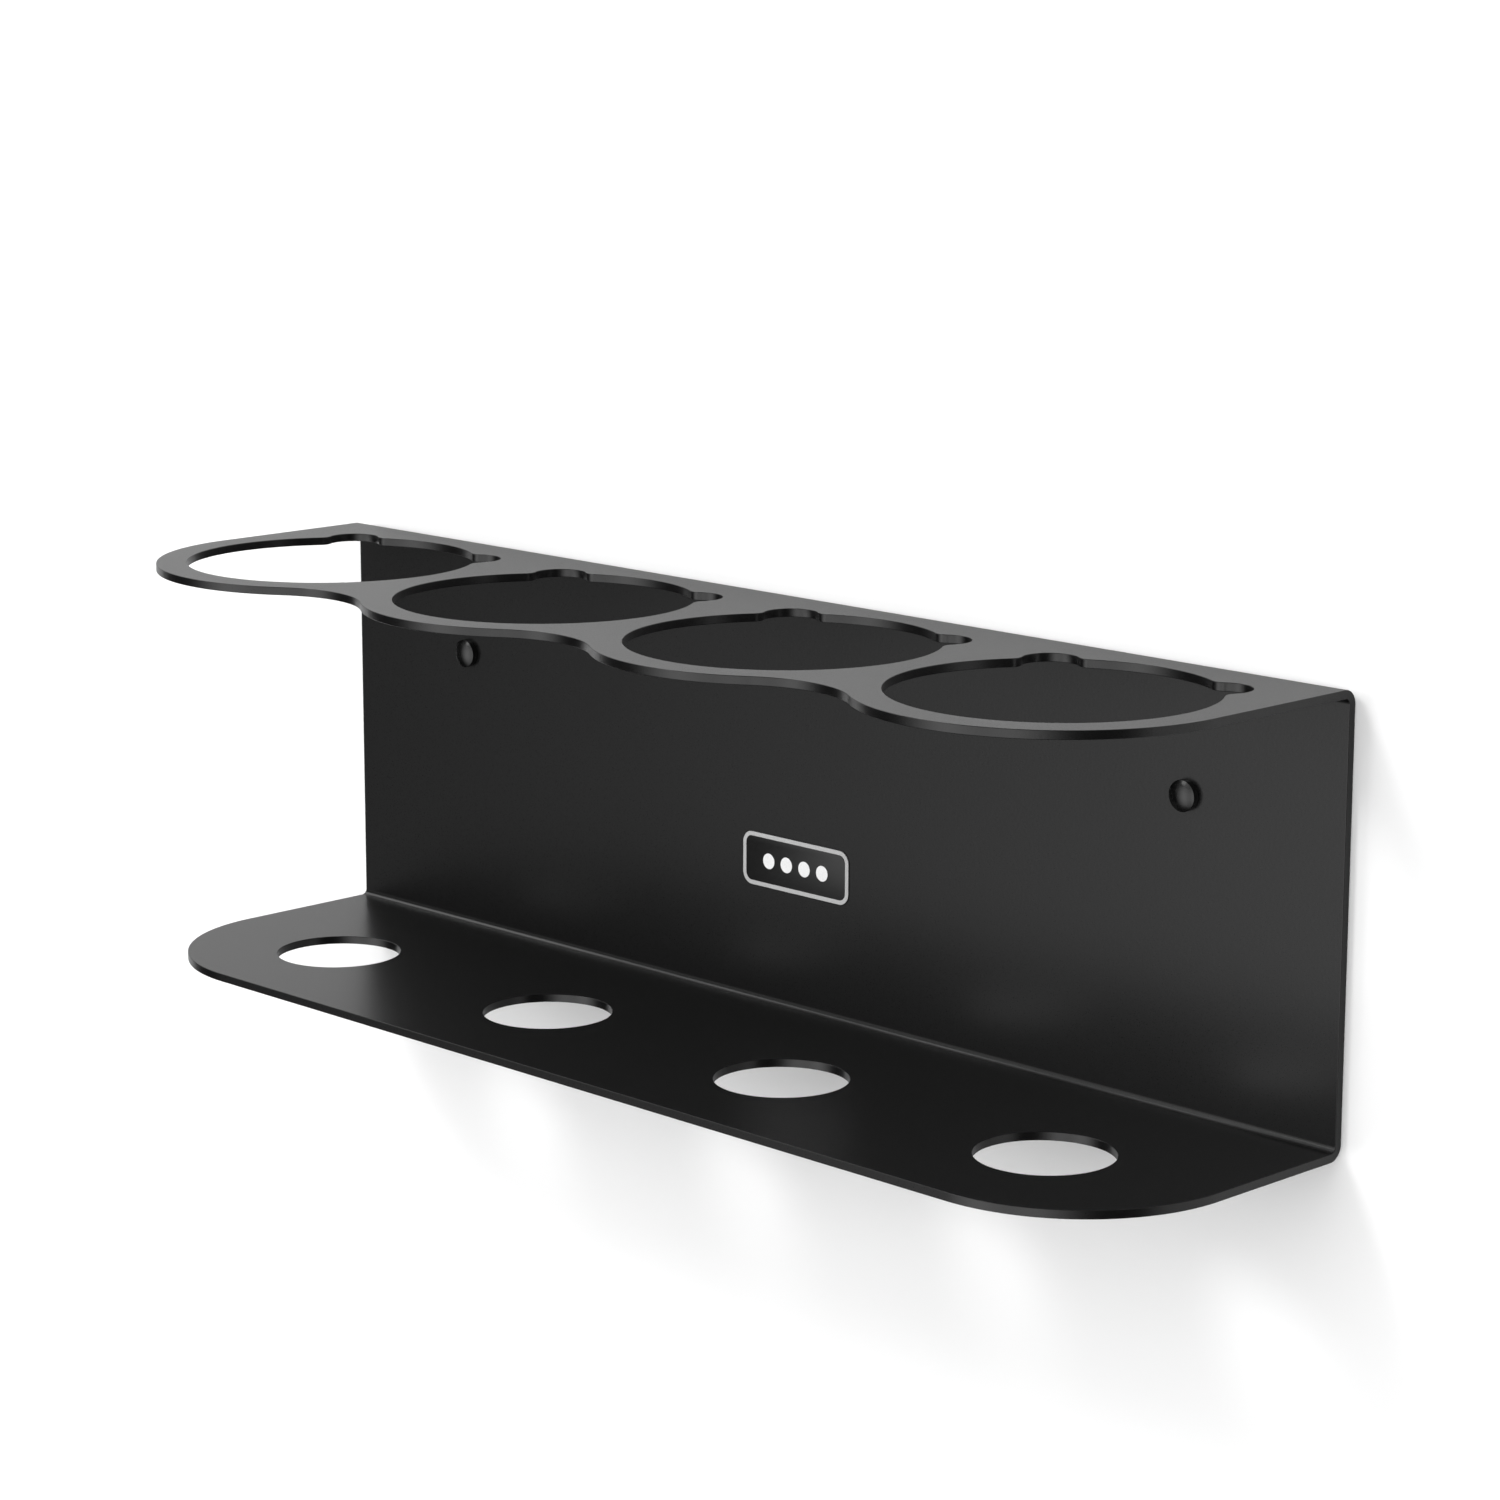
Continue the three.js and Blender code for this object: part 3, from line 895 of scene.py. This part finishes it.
def one_sided(name, shade, seen_shade):
    """A matt pale paint for the stage, which the camera sees only from its front. It has one shade
    for the camera and another for every other ray. No real paint does that."""
    material, nodes, links = plain(name)
    shader = nodes["Principled BSDF"]
    shader.inputs["Roughness"].default_value = PAINT_ROUGHNESS
    shader.inputs["Specular IOR Level"].default_value = 0.0
    geometry = nodes.new("ShaderNodeNewGeometry")
    path = nodes.new("ShaderNodeLightPath")
    colour = tint(nodes, links, path.outputs["Is Camera Ray"], [shade] * 3, [seen_shade] * 3)
    links.new(colour, shader.inputs["Base Color"])
    both = nodes.new("ShaderNodeMath")
    both.operation = "MULTIPLY"
    links.new(geometry.outputs["Backfacing"], both.inputs[0])
    links.new(path.outputs["Is Camera Ray"], both.inputs[1])
    clear = nodes.new("ShaderNodeBsdfTransparent")
    mix = nodes.new("ShaderNodeMixShader")
    links.new(both.outputs["Value"], mix.inputs["Fac"])
    links.new(shader.outputs["BSDF"], mix.inputs[1])
    links.new(clear.outputs["BSDF"], mix.inputs[2])
    links.new(mix.outputs["Shader"], nodes["Material Output"].inputs["Surface"])
    return material


def backdrop():
    """A pale wall with an opening where the rack covers it, and a pale floor."""
    reach = BACKDROP_REACH
    y = WALL_BEHIND
    x0, x1 = rack_low.x * MM + OPENING_INSIDE_ENDS, rack_high.x * MM - OPENING_INSIDE_ENDS
    z0, z1 = rack_low.z * MM + OPENING_INSIDE_TOP, rack_high.z * MM - OPENING_INSIDE_TOP
    floor = -FLOOR_BELOW
    outer = [(-reach, floor), (reach, floor), (reach, reach), (-reach, reach)]
    inner = [(x0, z0), (x1, z0), (x1, z1), (x0, z1)]
    verts = [(x, y, z) for x, z in outer + inner]
    faces = [(k, (k + 1) % 4, 4 + (k + 1) % 4, 4 + k) for k in range(4)]
    wall_paint = one_sided("wall_paint", WALL_SHADE, WALL_SEEN)
    floor_paint = one_sided("floor_paint", FLOOR_SHADE, FLOOR_SHADE)
    wall = mesh_object("wall", np.array(verts) / MM, faces, wall_paint)
    floor_verts = [(x, y, floor) for x, y in ((-reach, -reach), (reach, -reach), (reach, y), (-reach, y))]
    ground = mesh_object("floor", np.array(floor_verts) / MM, [(0, 1, 2, 3)], floor_paint)
    for piece in (wall, ground):
        piece.visible_shadow = False
        piece.visible_diffuse = False
    ground.visible_glossy = False


def direction(heading, height):
    """The direction at a heading right of straight out from the wall and a height above level."""
    heading, height = math.radians(heading), math.radians(height)
    flat = math.cos(height)
    return Vector((math.sin(heading) * flat, -math.cos(heading) * flat, math.sin(height)))


def softbox(name, heading, height, wide, tall, radiance, disc=False, for_gloss=False):
    """A soft light that faces the rack. Its place and its spread are in degrees from the rack. It
    either lights the matt wall or makes the highlights."""
    data = bpy.data.lights.new(name, "AREA")
    data.shape = "DISK" if disc else "RECTANGLE"
    data.size = 2 * LIGHT_DISTANCE * math.tan(math.radians(wide / 2))
    data.size_y = 2 * LIGHT_DISTANCE * math.tan(math.radians(tall / 2))
    round_share = math.pi / 4 if disc else 1
    data.energy = radiance * math.pi * data.size * data.size_y * round_share
    lamp = bpy.data.objects.new(name, data)
    towards = direction(heading, height)
    lamp.location = towards * LIGHT_DISTANCE
    lamp.rotation_mode = "QUATERNION"
    lamp.rotation_quaternion = towards.to_track_quat("Z", "Y")
    lamp.visible_glossy = for_gloss
    lamp.visible_diffuse = not for_gloss
    bpy.context.scene.collection.objects.link(lamp)


def ramp(nodes, links, value, low, high, stops):
    """A brightness that follows stops of (place, brightness) as a value goes from low to high."""
    share = nodes.new("ShaderNodeMapRange")
    share.inputs["From Min"].default_value = low
    share.inputs["From Max"].default_value = high
    links.new(value, share.inputs["Value"])
    node = nodes.new("ShaderNodeValToRGB")
    elements = node.color_ramp.elements
    places = [(place - low) / (high - low) for place, _ in stops]
    elements[0].position, elements[1].position = places[0], places[-1]
    for place in places[1:-1]:
        elements.new(place)
    for element, (_, brightness) in zip(elements, stops):
        element.color = (brightness, brightness, brightness, 1)
    links.new(share.outputs["Result"], node.inputs["Fac"])
    return node.outputs["Color"]


def feed(links, sockets, values):
    """Gives each socket its number, or the output of another node."""
    for socket, value in zip(sockets, values):
        if isinstance(value, (int, float)):
            socket.default_value = value
        else:
            links.new(value, socket)


def combined(nodes, links, operation, a, b):
    """The result of a sum or the like. a and b are numbers or the outputs of other nodes."""
    node = nodes.new("ShaderNodeMath")
    node.operation = operation
    feed(links, node.inputs, (a, b))
    return node.outputs["Value"]


def chosen(nodes, links, share, where_0, where_1):
    """One value where the share is 0, another where it is 1."""
    node = nodes.new("ShaderNodeMix")
    node.data_type = "FLOAT"
    links.new(share, node.inputs["Factor"])
    feed(links, node.inputs[2:4], (where_0, where_1))
    return node.outputs["Result"]


def studio_world():
    """Three surroundings in one, which no real room has: soft light from above for matt surfaces, a
    broad soft panel in front of the rack for reflections, and plain white for the camera."""
    world = bpy.data.worlds.new("studio")
    world.use_nodes = True
    nodes, links = world.node_tree.nodes, world.node_tree.links
    place = nodes.new("ShaderNodeTexCoord")
    parts = nodes.new("ShaderNodeSeparateXYZ")
    links.new(place.outputs["Generated"], parts.inputs["Vector"])
    x, y, z = (parts.outputs[axis] for axis in "XYZ")
    heading = combined(nodes, links, "ARCTAN2", x, combined(nodes, links, "MULTIPLY", y, -1.0))
    strips = [(-PANEL_EDGE, 0), (-STRIP_HEADING, LEFT_STRIP), (0, BETWEEN_STRIPS),
              (STRIP_HEADING, RIGHT_STRIP), (PANEL_EDGE, 0)]
    heights = [(PANEL_FOOT, 0), (PANEL_FULL_FROM, 1), (PANEL_FULL_TO, 1), (PANEL_TOP, 0)]
    across = ramp(nodes, links, heading, -math.pi / 2, math.pi / 2,
                  [(math.radians(angle), share) for angle, share in strips])
    upright = ramp(nodes, links, z, -1, 1,
                   [(math.sin(math.radians(angle)), share) for angle, share in heights])
    panel = combined(nodes, links, "MULTIPLY", across, upright)
    behind = ramp(nodes, links, y, -1, 1, [(BEHIND_FROM, 0), (BEHIND_FULL, BEHIND_WALL)])
    panel = combined(nodes, links, "MULTIPLY", panel, PANEL_LIGHT)
    reflected = combined(nodes, links, "ADD", panel, behind)
    overhead = ramp(nodes, links, z, -1, 1, [(-OVERHEAD_FADE, 0), (OVERHEAD_FADE, 1)])
    overhead = combined(nodes, links, "MULTIPLY", overhead, OVERHEAD_LIGHT)
    path = nodes.new("ShaderNodeLightPath")
    unseen = chosen(nodes, links, path.outputs["Is Glossy Ray"], overhead, reflected)
    strength = chosen(nodes, links, path.outputs["Is Camera Ray"], unseen, 1.0)
    links.new(strength, nodes["Background"].inputs["Strength"])
    nodes["Background"].inputs["Color"].default_value = (1, 1, 1, 1)
    bpy.context.scene.world = world


def lighting():
    studio_world()
    softbox("key", heading=-25, height=41, wide=16, tall=16, radiance=KEY_LIGHT, disc=True)
    softbox("left_fill", heading=-74, height=-16, wide=38, tall=56, radiance=LEFT_FILL)
    softbox("right_fill", heading=70, height=5, wide=40, tall=24, radiance=RIGHT_FILL)
    softbox("key_highlight", heading=-28, height=33, wide=14, tall=26, radiance=KEY_HIGHLIGHT,
            for_gloss=True)
    softbox("side_highlight", heading=-76, height=44, wide=30, tall=30, radiance=SIDE_HIGHLIGHT,
            for_gloss=True)


camera()
backdrop()
lighting()
bpy.context.scene.view_settings.view_transform = "Standard"
